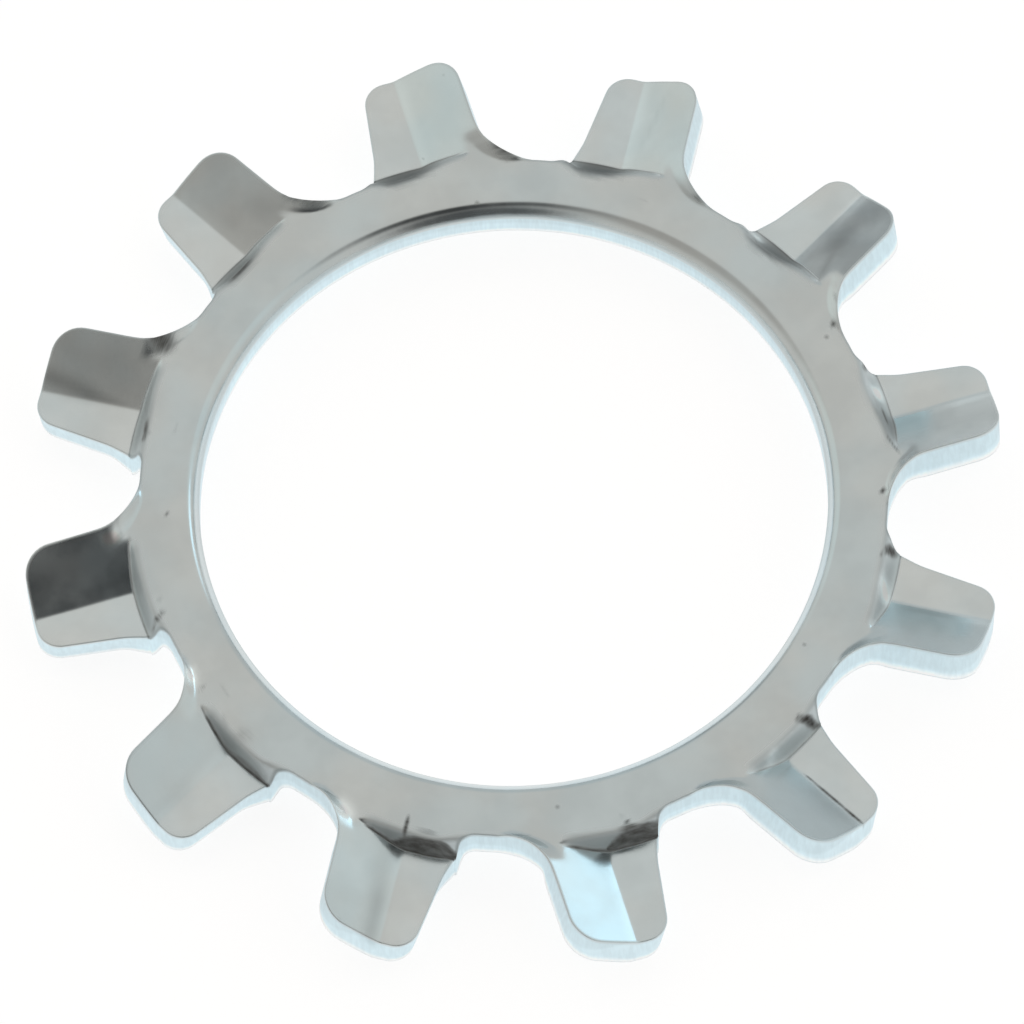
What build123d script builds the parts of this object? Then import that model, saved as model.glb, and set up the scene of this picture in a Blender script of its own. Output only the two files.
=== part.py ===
from build123d import *
import math
import os

# Toothed lock washer for an M20 screw, teeth outside, stamped and formed from one sheet.
# Origin: on the bore axis, in the plane that the washer rests on. +Z up, +X along one tooth.
# Each tooth is pressed down in a step from the ring, then creased: a level land on one side
# of the crease, and on the other a wing that rises past the top of the ring.

# Driving dimensions, in millimetres and degrees

bore_diameter = 21.0
outer_diameter = 33.0
sheet_thickness = 1.4
bore_roll_radius = 0.42      # the punch draws the top edge of the bore down

tooth_count = 12
ring_width = 2.0             # from the bore to the bottom of the gaps
tooth_root_width = 3.86      # across the flanks, at the foot of the step
flank_taper = 4.5            # each flank draws in by this angle towards the tip
flank_lean = 9.0             # both flanks lean with the twist of the tooth
land_corner_radius = 0.8     # corners of the tip
wing_corner_radius = 1.05
root_fillet_radius = 0.7     # in the corner beside the land
shoulder_radius = 2.4        # hollow of the wider root beside the wing
shoulder_height = 1.05       # from the bottom of the gap to the top of that hollow

press_depth = 0.95           # how far the land lies below the top of the ring
step_width = 0.55            # radial width of the step from the ring down to the land
step_draft = 12.0            # lean of the step's wall from upright
crease_offset = 0.22         # from the tooth's centre line, at the foot of the step
crease_turn = 3.8            # the crease runs out at this angle to the centre line
wing_tilt = 30.6

ramp_slope = 36.0            # the root is lifted in a cone round the hollow of the shoulder
ramp_radius = 1.32
ramp_offset = 0.62           # from the wing's flank out to the cone's axis
ramp_setback = 0.7           # from the bottom of the gap out to the cone's axis
riser_slope = 58.0           # steep riser that bounds the lifted root towards the bore
riser_turn = 37.4            # how far the riser faces round from the tooth's centre line
riser_reach = 0.86           # from the cone's axis in to the foot of the riser

# Places that follow from them

bore_radius = bore_diameter / 2
tip_radius = outer_diameter / 2
ring_radius = bore_radius + ring_width
foot_radius = ring_radius + step_width
tooth_pitch = 360 / tooth_count
ring_bottom = press_depth
ring_top = ring_bottom + sheet_thickness
web_radius = ring_radius - ring_width / 4     # how far the teeth are sunk into the ring
overrun = sheet_thickness                     # how far tools pass what they cut
full_height = 2 * ring_top                    # clears the top of the wings


def half_width(radius):
    """Half the tooth's width at a distance out along its centre line."""
    return tooth_root_width / 2 - (radius - foot_radius) * math.tan(math.radians(flank_taper))


def crease_place(radius):
    """How far the crease lies from the tooth's centre line at a distance out along it."""
    return crease_offset + (radius - foot_radius) * math.tan(math.radians(crease_turn))


def ring_arc_point(angle):
    """Point on the bottom of the gap, by its angle from the tooth's centre line."""
    return Vector(ring_radius, 0).rotate(Axis.Z, angle)


def land_root():
    """Ends of the round corner beside the land: on the flank, and on the gap's bottom."""
    across = Vector(0, 1).rotate(Axis.Z, -flank_taper)
    along = Vector(1, 0).rotate(Axis.Z, -flank_taper)
    reach = across.dot(Vector(foot_radius, tooth_root_width / 2)) + root_fillet_radius
    swing = ring_radius + root_fillet_radius
    center = across * reach + along * math.sqrt(swing**2 - reach**2)
    return center - across * root_fillet_radius, center * (ring_radius / swing)


def wing_root():
    """Ends of the wide hollow beside the wing: on the flank's top edge, and on the gap's bottom."""
    corner_x = ring_radius + shoulder_height
    corner_y = -half_width(corner_x)
    span = crease_place(corner_x) - corner_y
    wing_rise = span * math.tan(math.radians(wing_tilt)) - press_depth
    corner = Vector(corner_x, corner_y + wing_rise * math.tan(math.radians(flank_lean)))
    swing = ring_radius + shoulder_radius
    turn_cosine = (swing**2 + corner.length**2 - shoulder_radius**2) / (2 * swing * corner.length)
    turn = math.degrees(math.acos(turn_cosine))
    corner_angle = math.degrees(math.atan2(corner.Y, corner.X))
    return corner, ring_arc_point(corner_angle - turn)


def root_column(land_flank, land_gap, wing_flank, wing_gap):
    """Everything in the outline of one root and its share of the ring, down to its underside."""
    spare = tooth_pitch - wing_gap.get_angle(land_gap)
    land_seam = land_gap.rotate(Axis.Z, spare / 2)
    wing_seam = wing_gap.rotate(Axis.Z, -spare / 2)
    outline = Polyline(land_flank, wing_flank)
    outline += RadiusArc(wing_flank, wing_gap, -shoulder_radius)
    outline += RadiusArc(wing_gap, wing_seam, ring_radius)
    outline += Polyline(wing_seam, (0, 0), land_seam)
    outline += RadiusArc(land_seam, land_gap, ring_radius)
    outline += RadiusArc(land_gap, land_flank, -root_fillet_radius)
    return extrude(Pos(0, 0, ring_bottom) * make_face(outline), full_height - ring_bottom)


def rounded_corner(tooth, side, radius):
    """The tooth with one corner of its tip rounded: side 0 is the wing's, side -1 the land's."""
    tip = tooth.faces().sort_by(Axis.X)[-1]
    corner = tip.edges().filter_by(GeomType.ELLIPSE).sort_by(Axis.Y)[side]
    return fillet(corner, radius)


def tooth_column():
    """Everything between the two leaning flanks of a tooth, out to its tip."""
    near = web_radius
    far = tip_radius + overrun
    outline = Polyline(
        (near, half_width(near)),
        (far, half_width(far)),
        (far, -half_width(far)),
        (near, -half_width(near)),
        close=True,
    )
    lean = Vector(0, 0, 1).rotate(Axis.X, -flank_lean)
    bar = extrude(Pos(0, 0, ring_top) * make_face(outline), full_height, dir=lean, both=True)
    reach = Pos(0, 0, full_height / 2) * Cylinder(tip_radius, full_height)
    tooth = rounded_corner(bar & reach, 0, wing_corner_radius)
    return rounded_corner(tooth, -1, land_corner_radius)


def sector_column():
    """Everything above and below one tooth, its root and its share of the ring."""
    return root_column(*land_root(), *wing_root()) + tooth_column()


def step_curve():
    """Section of the step at the top: rolled off the ring, then steep down to the foot."""
    lean = math.tan(math.radians(step_draft))
    wall_radius = foot_radius - press_depth * lean
    roll_run = wall_radius - ring_radius
    roll_end = Vector(wall_radius, ring_top) + Vector(0, -roll_run).rotate(Axis.Z, step_draft)
    roll = TangentArc((ring_radius, ring_top), roll_end, tangent=(1, 0))
    return roll + Line(roll_end, (foot_radius, ring_top - press_depth))


def turned(outline):
    """Solid turned about the bore axis from a closed outline of radius and height."""
    return revolve(Plane.XZ * make_face(outline), Axis.Z, 360)


def flat_sheet():
    """Turned body of the ring and the roots, rolled at the bore and at the step."""
    roll_start = (bore_radius + bore_roll_radius, ring_top)
    roll_end = (bore_radius, ring_top - bore_roll_radius)
    section = step_curve() + Line((ring_radius, ring_top), roll_start)
    section += TangentArc(roll_start, roll_end, tangent=(-1, 0))
    section += Polyline(
        roll_end,
        (bore_radius, ring_bottom),
        (foot_radius, ring_bottom),
        (foot_radius, ring_top - press_depth),
    )
    return turned(section)


def pressed_space():
    """Turned space that the pressed teeth fill, bounded inwards by the step's underside."""
    middle = Vector((ring_radius + foot_radius) / 2, ring_top / 2)
    under_step = step_curve().rotate(Axis((middle.X, middle.Y, 0), (0, 0, 1)), 180)
    section = under_step + Polyline(
        (foot_radius, 0),
        (tip_radius + overrun, 0),
        (tip_radius + overrun, full_height),
        (web_radius, full_height),
        (web_radius, ring_bottom),
        (ring_radius, ring_bottom),
    )
    return turned(section)


def formed_sheet():
    """The creased sheet of a tooth: level land, crease and rising wing, of one thickness."""
    tilt = math.radians(wing_tilt)
    span = tooth_root_width + shoulder_radius
    rise = span * math.tan(tilt)
    land_top = sheet_thickness
    section = Polyline(
        (span, land_top),
        (0, land_top),
        (-span, land_top + rise),
        (-span, land_top + rise - sheet_thickness / math.cos(tilt)),
        (-sheet_thickness * math.tan(tilt / 2), 0),
        (span, 0),
        close=True,
    )
    bar = extrude(Plane.YZ * make_face(section), tip_radius + overrun)
    return Pos(0, crease_offset, 0) * bar.rotate(Axis((foot_radius, 0, 0), (0, 0, 1)), crease_turn)


def riser_space(axis_x, axis_y):
    """Space above and outwards of the steep riser, which cuts slantwise across the root."""
    outwards = Vector(1, 0).rotate(Axis.Z, -riser_turn)
    foot = Vector(axis_x, axis_y, ring_top) - outwards * riser_reach
    run = full_height / math.tan(math.radians(riser_slope))
    outline = Polyline(
        (0, 0),
        (run, full_height),
        (tip_radius, full_height),
        (tip_radius, 0),
        close=True,
    )
    across = Plane(foot, x_dir=outwards, z_dir=outwards.rotate(Axis.Z, -90))
    return extrude(across * make_face(outline), tip_radius, both=True)


def lifted_root():
    """Space above the ring plane that the wing may rise into: a cone at its root, open outwards."""
    height = ramp_radius * math.tan(math.radians(ramp_slope))
    axis_x = ring_radius + ramp_setback
    axis_y = -half_width(axis_x) - ramp_offset
    place = Pos(axis_x, axis_y, ring_top)
    cone = place * Cone(ramp_radius, 0, height, align=(Align.CENTER, Align.CENTER, Align.MIN))
    beside = (Align.MIN, Align.CENTER, Align.MIN)
    outwards = place * Box(tip_radius, 2 * tooth_root_width, full_height, align=beside)
    return (cone + outwards) & riser_space(axis_x, axis_y)


def sector():
    """One tooth with its share of the ring."""
    sheet = formed_sheet()
    lift = lifted_root()
    below_ring_top = Pos(0, 0, ring_top / 2) * Cylinder(tip_radius + overrun, ring_top)
    pressed = sheet & pressed_space() & (below_ring_top + lift)
    hollow = Pos(0, 0, -sheet_thickness / math.cos(math.radians(wing_tilt))) * (lift & sheet)
    return (flat_sheet() - hollow + pressed) & sector_column()


def lock_washer():
    """The whole washer as one solid."""
    one_sector = sector()
    sectors = [one_sector.rotate(Axis.Z, tooth_pitch * place) for place in range(tooth_count)]
    return sectors[0].fuse(*sectors[1:]).clean()


os.makedirs("parts", exist_ok=True)
export_step(lock_washer(), "parts/lock_washer.step")
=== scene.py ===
import math
import bmesh
import bpy
import numpy as np
from mathutils import Matrix, Vector


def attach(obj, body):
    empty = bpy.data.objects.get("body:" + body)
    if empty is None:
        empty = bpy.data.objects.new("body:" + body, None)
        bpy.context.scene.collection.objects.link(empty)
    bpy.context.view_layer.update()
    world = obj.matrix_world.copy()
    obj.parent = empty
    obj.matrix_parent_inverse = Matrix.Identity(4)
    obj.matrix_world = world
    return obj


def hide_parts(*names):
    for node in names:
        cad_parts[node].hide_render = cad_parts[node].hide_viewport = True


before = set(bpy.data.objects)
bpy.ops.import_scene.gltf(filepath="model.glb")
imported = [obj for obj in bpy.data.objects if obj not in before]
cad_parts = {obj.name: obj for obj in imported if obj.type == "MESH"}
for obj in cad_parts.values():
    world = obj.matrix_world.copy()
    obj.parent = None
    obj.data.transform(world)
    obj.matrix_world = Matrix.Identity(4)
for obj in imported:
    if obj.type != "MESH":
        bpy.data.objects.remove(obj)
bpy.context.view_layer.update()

scene = bpy.context.scene
millimetre = 0.001


# colour and node helpers

def linearColour(hexText):
    channels = [int(hexText[i:i + 2], 16) / 255 for i in (1, 3, 5)]
    return [c / 12.92 if c <= 0.04045 else ((c + 0.055) / 1.055) ** 2.4 for c in channels] + [1.0]


def addNode(tree, kind, settings=None, **links):
    # settings are the node's own properties; links fill inputs by name (or by number as in_0)
    node = tree.nodes.new(kind)
    for key, value in (settings or {}).items():
        setattr(node, key, value)
    for key, value in links.items():
        name = int(key[3:]) if key.startswith("in_") else key.replace("_", " ")
        if isinstance(value, bpy.types.NodeSocket):
            tree.links.new(value, node.inputs[name])
        else:
            node.inputs[name].default_value = value
    return node


# camera: a long lens above the washer, +X of the part to the right of the picture

camera = {
    "azimuth": -10.33,       # degrees round the washer from straight in front
    "elevation": 64.59,
    "roll": 2.86,
    "distance": 425.1,       # mm
    "lens": 447.97,          # mm on a 36 mm sensor
    "lookAside": (-0.042, -0.626),   # mm, from the ring's middle to the picture's middle
    "lookHeight": 2.35,      # mm, the top of the ring
}


def makeCamera():
    data = bpy.data.cameras.new("camera")
    data.lens = camera["lens"]
    data.sensor_width = 36
    data.clip_start = 0.01
    data.clip_end = 20
    obj = bpy.data.objects.new("camera", data)
    scene.collection.objects.link(obj)
    turn = Matrix.Rotation(math.radians(camera["azimuth"]), 3, "Z")
    tip = Matrix.Rotation(math.radians(90 - camera["elevation"]), 3, "X")
    roll = Matrix.Rotation(math.radians(-camera["roll"]), 3, "Z")
    axes = turn @ tip @ roll
    aside, up = camera["lookAside"]
    place = axes @ Vector((aside, up, camera["distance"])) + Vector((0, 0, camera["lookHeight"]))
    obj.matrix_world = Matrix.Translation(place * millimetre) @ axes.to_4x4()
    scene.camera = obj


# the washer: one stamped and formed sector, repeated round the bore

washer = {                       # millimetres and degrees
    "toothCount": 12,
    "boreRadius": 10.5,
    "tipRadius": 16.499,
    "ringRadius": 12.5,          # bottom of the gaps
    "footRadius": 13.05,         # foot of the step
    "sheet": 1.4,
    "pressDepth": 0.95,
    "rootWidth": 3.86,
    "flankTaper": 4.5,
    "flankLean": 9.0,
    "leanFrom": -0.4,            # from the foot out: the roots stand upright and the flanks lean
    "leanTo": 0.9,
    "landCorner": 0.8,
    "wingCorner": 1.05,
    "rootFillet": 0.7,
    "shoulderRadius": 2.4,
    "shoulderHeight": 1.05,
    "shoulderEnd": 1.6,          # from the bottom of the gap, past the end of the hollow
    "shoulderSoft": 0.008,
    "creaseOffset": 0.22,
    "creaseTurn": 3.8,
    "wingTilt": 30.6,
    "rampSlope": 36.0,
    "rampRadius": 1.32,
    "rampOffset": 0.62,
    "rampSetback": 0.7,
    "rampOpening": 2.0,          # how fast the lift rises outwards, so that it leaves the wing free
    "stepAtLand": 12.72,         # radius where the step is steepest, beside the land
    "stepAtWing": 12.87,
    "stepTurn": 1.1,             # it moves over within this distance of the centre line
    "stepRoll": 0.32,            # how far inwards of it the ring begins to roll off
    "stepBend": 4.0,             # how late in that roll it falls
    "stepSweep": 0.05,           # least distance from the steepest place to the foot
    "footAtWing": 0.1,           # how much nearer the foot is beside the wing
    "footTurn": 1.2,
    "seamFrom": 2.3,             # the step dies out here, short of the seam with the next tooth
    "seamTo": 2.7,
    "toolShift": 0.3,            # the forming tool sat off the bore's axis
    "toolShiftAngle": -120.0,
    "shiftFadeFrom": 1.3,        # its effect dies out towards the land's outline,
    "shiftFadeTo": 2.1,
    "shiftFade": 0.7,            # wholly where the step moved inwards and by this share elsewhere
    "riserSlope": 48.0,
    "riserSteeper": 4.0,         # on the side that the tool was shifted to
    "riserTurn": 37.4,
    "riserReach": 0.86,
    "boreRollWide": 0.51,        # top edge of the bore drawn down by the punch
    "boreRollDeep": 0.43,
    "boreRollBend": 2.0,
    "boreEdge": 0.03,
    "edgeRound": 0.04,           # top edges of the teeth and gaps
    "underRound": 0.03,
    "creaseSoft": 0.07,          # how far each fold is blended
    "bendSoft": 0.1,
    "lipSoft": 0.4,
    "lipSofter": 0.08,           # on the side away from the tool's shift
    "waviness": 0.05,
    "wavePitch": 2.6,
    "waveSeed": 4,
    "wallRows": 8,               # rows of points down a wall, both edges counted
    "edgeRows": [0, 0.008, 0.028, 0.06, 0.1, 0.17],      # distances of rows from a cut edge
    "creaseRows": [0, 0.025, 0.07, 0.14],
    "creaseClear": 0.4,          # least distance of the crease's rows from the land's edge
    "wingRows": 14,              # even rows between those
    "landRows": 8,
    "stepRows": [0, 0.006, 0.02, 0.045, 0.07, 0.1, 0.13, 0.16, 0.195, 0.23, 0.265, 0.3, 0.335, 0.365,
                 0.39, 0.415, 0.44, 0.46, 0.48, 0.495, 0.51, 0.525, 0.54, 0.555, 0.575, 0.6, 0.64, 0.7],
    "toothRows": 19,
    "tipRows": [0.6, 0.47, 0.36, 0.27, 0.2, 0.14, 0.09, 0.05, 0.022, 0.006, 0],
    "boreRows": [0, 0.006, 0.018, 0.04, 0.07, 0.11, 0.15, 0.2, 0.25, 0.31, 0.37, 0.43, 0.5, 0.58, 0.7],
    "ringRows": 6,
    "gapRows": 6,                # points from a tooth to the seam
    "seamMerge": 0.002,
    "pastSeam": 0.06,            # radians of the next gap that the outline takes in
    "pastSeamPoints": 9,
}

ringTop = washer["pressDepth"] + washer["sheet"]
pitch = 2 * math.pi / washer["toothCount"]


def smoothMax(a, b, reach):
    share = np.clip(0.5 + 0.5 * (a - b) / reach, 0, 1)
    return b + (a - b) * share + reach * share * (1 - share)


def smoothMin(a, b, reach):
    return -smoothMax(-a, -b, reach)


def smoothStep(value, low, high):
    t = np.clip((value - low) / (high - low), 0, 1)
    return t * t * (3 - 2 * t)


def tangent(name):
    return math.tan(math.radians(washer[name]))


def creasePlace(x):
    return washer["creaseOffset"] + (x - washer["footRadius"]) * tangent("creaseTurn")


def foldedTop(x, y):
    # level land, crease and rising wing
    past = (creasePlace(x) - y) * math.cos(math.radians(washer["creaseTurn"]))
    return washer["sheet"] + smoothMax(past * tangent("wingTilt"), 0, washer["creaseSoft"])


def halfWidth(x):
    return washer["rootWidth"] / 2 - (x - washer["footRadius"]) * tangent("flankTaper")


def toolSide(turn):
    # 1 for a tooth on the side that the tool was shifted to, -1 across from it
    return math.cos(turn - math.radians(washer["toolShiftAngle"]))


def liftTop(x, y, side):
    # how high the root beside the wing may rise: a cone, bounded towards the bore by a steep riser
    w = washer
    axisX = w["ringRadius"] + w["rampSetback"]
    axisY = -halfWidth(axisX) - w["rampOffset"]
    out, aside = x - axisX, y - axisY
    cone = (w["rampRadius"] - np.hypot(np.minimum(out, 0), aside)) * tangent("rampSlope")
    turn = math.radians(w["riserTurn"])
    steepness = math.tan(math.radians(w["riserSlope"] + w["riserSteeper"] * side))
    riser = (out * math.cos(turn) - aside * math.sin(turn) + w["riserReach"]) * steepness
    opened = cone + w["rampOpening"] * np.maximum(out, 0)
    return ringTop + smoothMin(opened, riser, w["lipSoft"] - w["lipSofter"] * side)


def stepPlaces(y, side):
    # radii where the step is steepest and where it ends
    w = washer
    fade = (1 if side < 0 else w["shiftFade"]) * smoothStep(y, w["shiftFadeFrom"], w["shiftFadeTo"])
    offset = w["toolShift"] * side * (1 - fade)
    landward = smoothStep(y, -w["stepTurn"], w["stepTurn"])
    steepest = w["stepAtWing"] + landward * (w["stepAtLand"] - w["stepAtWing"] + offset)
    wingward = 1 - smoothStep(y, -w["footTurn"], 0)
    foot = np.maximum(w["footRadius"] - w["footAtWing"] * wingward, steepest + w["stepSweep"])
    return steepest, foot


def stepShare(x, y, side):
    # 0 on the ring and 1 on the land: rolled off the ring, then swept into the land
    w = washer
    steepest, foot = stepPlaces(y, side)
    roll, sweep, bend = w["stepRoll"], foot - steepest, w["stepBend"] + side
    before = 2 * roll / (2 * roll + bend * sweep)
    radius = np.hypot(x, y)
    rolled = before * np.clip((radius - steepest) / roll + 1, 0, 1) ** bend
    swept = 1 - (1 - before) * np.clip((foot - radius) / sweep, 0, 1) ** 2
    share = np.where(radius < steepest, rolled, swept)
    return share * (1 - smoothStep(y, w["seamFrom"], w["seamTo"]))


def faceHeight(x, y, base, sunk, turn):
    # one face of the sheet: the ring's plane, pressed down or lifted to the creased tooth
    w = washer
    lift = liftTop(x, y, toolSide(turn))
    for side in (-1, 1):             # the neighbours' lifted roots reach to the seams
        c, s = math.cos(side * pitch), math.sin(side * pitch)
        lift = np.maximum(lift, liftTop(c * x + s * y, c * y - s * x, toolSide(turn + side * pitch)))
    folded = foldedTop(x, y) - sunk
    soft = w["lipSoft"] - w["lipSofter"] * toolSide(turn)
    raised = smoothMax(smoothMin(folded, lift - sunk, soft) - base, 0, w["bendSoft"])
    if sunk:
        folded = smoothMax(folded, 0, w["creaseSoft"])
    pressed = smoothMin(folded - base, 0, w["bendSoft"]) * stepShare(x, y, toolSide(turn))
    return base + pressed + raised


evenTurn = math.radians(washer["toolShiftAngle"]) + math.pi / 2     # a tooth that the shift leaves alone


def topHeight(x, y, turn=evenTurn):
    return faceHeight(x, y, ringTop, 0, turn)


def underHeight(x, y):
    sunk = washer["sheet"] / math.cos(math.radians(washer["wingTilt"]))
    return faceHeight(x, y, washer["pressDepth"], sunk, evenTurn)


def flankAngle(radius, shift, corner):
    # angle of a flank and its rounded tip corner, the flank moved outwards by shift
    w = washer
    taper = math.radians(w["flankTaper"])
    facing = math.pi / 2 - taper
    reach = math.sin(taper) * w["footRadius"] + math.cos(taper) * (w["rootWidth"] / 2 + shift)
    swing = w["tipRadius"] - corner
    straight = facing - np.arccos(np.clip(reach / radius, -1, 1))
    centre = facing - np.arccos((reach - corner) / swing)
    startX = swing * np.cos(centre) + corner * math.cos(facing)
    startY = swing * np.sin(centre) + corner * math.sin(facing)
    spread = (radius ** 2 + swing ** 2 - corner ** 2) / (2 * radius * swing)
    rounded = centre + np.arccos(np.clip(spread, -1, 1))
    return np.where(radius > np.hypot(startX, startY), rounded, straight)


def hollowAngle(radius, centre, hollow):
    # angle of a round hollow that touches the bottom of the gap
    swing = washer["ringRadius"] + hollow
    spread = (radius ** 2 + swing ** 2 - hollow ** 2) / (2 * radius * swing)
    return centre - np.arccos(np.clip(spread, -1, 1))


def landRootCentre():
    w = washer
    taper = math.radians(w["flankTaper"])
    reach = math.sin(taper) * w["footRadius"] + math.cos(taper) * w["rootWidth"] / 2 + w["rootFillet"]
    return math.pi / 2 - taper - math.acos(reach / (w["ringRadius"] + w["rootFillet"]))


def landRootEnd():
    # how far from the bore's axis the round corner beside the land meets the flank
    w = washer
    centre, taper = landRootCentre(), math.radians(w["flankTaper"])
    swing = w["ringRadius"] + w["rootFillet"]
    x = swing * math.cos(centre) - w["rootFillet"] * math.sin(taper)
    y = swing * math.sin(centre) - w["rootFillet"] * math.cos(taper)
    return math.hypot(x, y)


def wingRootCentre():
    w = washer
    x = w["ringRadius"] + w["shoulderHeight"]
    y = halfWidth(x)
    rise = (creasePlace(x) + y) * tangent("wingTilt")
    y -= (rise - w["pressDepth"]) * tangent("flankLean")
    swing = w["ringRadius"] + w["shoulderRadius"]
    far = math.hypot(x, y)
    turn = math.acos((swing ** 2 + far ** 2 - w["shoulderRadius"] ** 2) / (2 * swing * far))
    return math.atan2(y, x) + turn


def sideAngle(radius, height, side):
    # angle of the land's edge for side 1 and of the wing's for side -1
    w = washer
    lean = side * (height - ringTop) * tangent("flankLean")
    corner = w["landCorner"] if side > 0 else w["wingCorner"]
    share = smoothStep(radius, w["footRadius"] + w["leanFrom"], w["footRadius"] + w["leanTo"])
    flank = flankAngle(radius, 0, corner) * (1 - share) + flankAngle(radius, lean, corner) * share
    if side > 0:
        root = hollowAngle(radius, landRootCentre(), w["rootFillet"])
        return np.where(radius < landRootEnd(), root, flank)
    root = hollowAngle(radius, wingRootCentre(), w["shoulderRadius"])
    root = np.where(radius < w["ringRadius"] + w["shoulderEnd"], root, 0)
    return -smoothMax(root, flank, w["shoulderSoft"])


def spaced(start, end, firsts, count, lasts):
    # runs of distances: fixed steps near both ends, even ones between
    low, high = start + firsts[-1], end - lasts[-1]
    middle = np.linspace(low, high, count + 1)
    return np.concatenate([start + np.array(firsts[:-1]), middle, end - np.array(lasts[:-1])[::-1]])


def rowAcross(radius, heightAt):
    # angles of one row of points from the wing's edge, over the crease, to the land's edge
    w = washer
    edges = []
    for side in (-1, 1):
        height = ringTop
        for repeat in range(4):              # a leaning edge's place and height settle together
            angle = float(sideAngle(np.array(radius), height, side))
            x, y = radius * math.cos(angle), radius * math.sin(angle)
            height = float(heightAt(np.array(x), np.array(y)))
        edges.append(angle)
    crease = min(creasePlace(radius), edges[1] * radius - w["creaseClear"])
    wing = spaced(edges[0] * radius, crease, w["edgeRows"], w["wingRows"], w["creaseRows"])
    land = spaced(crease, edges[1] * radius, w["creaseRows"], w["landRows"], w["edgeRows"])
    return np.concatenate([wing, land[1:]]) / radius


def toothRows():
    w = washer
    step = w["ringRadius"] + np.array(w["stepRows"])
    tip = w["tipRadius"] - np.array(w["tipRows"])
    return np.concatenate([step[:-1], np.linspace(step[-1], tip[0], w["toothRows"]), tip[1:]])


def ringRows():
    w = washer
    return spaced(w["boreRadius"], w["ringRadius"], w["boreRows"], w["ringRows"], w["edgeRows"])[:-1]


def boreDrop(inside):
    # how far the top sinks towards the bore, by the distance from the bore's wall
    w = washer
    near = np.clip(1 - inside / w["boreRollWide"], 0, 1)
    return w["boreRollDeep"] * near ** w["boreRollBend"] + edgeDrop(inside, w["boreEdge"])


def distanceToLine(points, line):
    # from each point to the nearest place on a run of straight pieces, a batch of points at a time
    a, b = line[:-1], line[1:]
    run = b - a
    square = np.maximum((run ** 2).sum(1), 1e-12)
    nearest = np.empty(len(points))
    batch = 2000
    for start in range(0, len(points), batch):
        p = points[start:start + batch, None, :]
        t = np.clip(((p - a) * run).sum(2) / square, 0, 1)
        away = p - (a + t[..., None] * run)
        nearest[start:start + batch] = np.sqrt((away ** 2).sum(2)).min(1)
    return nearest


def edgeDrop(distance, roundness):
    # how far a rounded edge falls away, by the distance from the outline
    inside = np.clip(roundness - distance, 0, roundness)
    return roundness - np.sqrt(roundness ** 2 - inside ** 2)


def inPlan(polar):
    # level places from radii and angles
    radius, angle = polar[..., 0], polar[..., 1]
    return np.stack([radius * np.cos(angle), radius * np.sin(angle)], -1)


def gapBottom(angles):
    # radii and angles along the bottom of a gap
    return np.stack([np.full(len(angles), washer["ringRadius"]), angles], -1)


def sectorSkin(heightAt, roundness, face):
    # one face of the sector, 0 on top and 1 below: ring rows and tooth rows of points, edges rounded
    # each point holds its place, its distance from the outline and its face
    w = washer
    rows, gap = toothRows(), w["gapRows"]
    tooth = np.array([rowAcross(r, heightAt) for r in rows])
    first = tooth[0]
    spare = (pitch - (first[-1] - first[0])) / 2 * np.linspace(0, 1, gap)
    full = np.concatenate([first[0] - spare[::-1][:-1], first, first[-1] + spare[1:]])
    ring = np.stack(np.meshgrid(ringRows(), full, indexing="ij"), -1)
    body = np.stack([np.broadcast_to(rows[:, None], tooth.shape), tooth], -1)
    lastRing = gapBottom(full)
    line = inPlan(np.concatenate([
        gapBottom(np.linspace(full[0] - w["pastSeam"], full[0], w["pastSeamPoints"])),
        lastRing[:gap], body[1:, 0], body[-1, 1:-1], body[::-1, -1][:-1], lastRing[-gap:],
        gapBottom(np.linspace(full[-1], full[-1] + w["pastSeam"], w["pastSeamPoints"]))]))
    parts = []
    for polar in (ring, lastRing, body[1:]):
        xy = inPlan(polar)
        z = heightAt(xy[..., 0], xy[..., 1])
        edge = distanceToLine(xy.reshape(-1, 2), line).reshape(z.shape)
        inside = polar[..., 0] - w["boreRadius"]
        if face:
            z = z + edgeDrop(edge, roundness) + edgeDrop(inside, roundness)
        else:
            z = z - edgeDrop(edge, roundness) - boreDrop(inside)
        rim = np.minimum(edge, inside)
        parts.append(np.concatenate([xy, np.stack([z, rim, face + 0 * z], -1)], -1))
    return parts


def sectorMesh():
    # both faces and the walls between them; open only at the two seams
    w = washer
    points, quads = [], []

    def add(block):
        start = sum(len(p) for p in points)
        points.append(block.reshape(-1, block.shape[-1]))
        return np.arange(start, start + len(points[-1])).reshape(block.shape[:-1])

    def stitch(grid):
        a, b, c, d = grid[:-1, :-1], grid[1:, :-1], grid[1:, 1:], grid[:-1, 1:]
        quads.append(np.stack([a, b, c, d], -1).reshape(-1, 4))

    rims = []
    for heightAt, roundness, face in ((topHeight, w["edgeRound"], 0), (underHeight, w["underRound"], 1)):
        ring, last, body = [add(block) for block in sectorSkin(heightAt, roundness, face)]
        span = body.shape[1]
        spare = (len(last) - span) // 2
        stitch(np.vstack([ring, last[None]]))
        stitch(np.vstack([last[None, spare:spare + span], body]))
        outer = np.concatenate([last[:spare + 1], body[:, 0], body[-1, 1:-1],
                                body[::-1, -1], last[-spare - 1:]])
        rims.append((outer, ring[0]))
    everything = np.concatenate(points)
    for top, under in ((rims[0][0], rims[1][0]), (rims[0][1], rims[1][1])):
        shares = np.linspace(0, 1, w["wallRows"])[1:-1]
        between = [everything[top] * (1 - t) + everything[under] * t for t in shares]
        rows = [top] + [add(row) for row in between] + [under]
        stitch(np.array(rows))
    return np.concatenate(points), np.concatenate(quads)


def meshObject(name, points, faces):
    mesh = bpy.data.meshes.new(name)
    mesh.from_pydata(points.tolist(), [], faces.tolist())
    mesh.update()
    obj = bpy.data.objects.new(name, mesh)
    scene.collection.objects.link(obj)
    return obj


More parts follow.
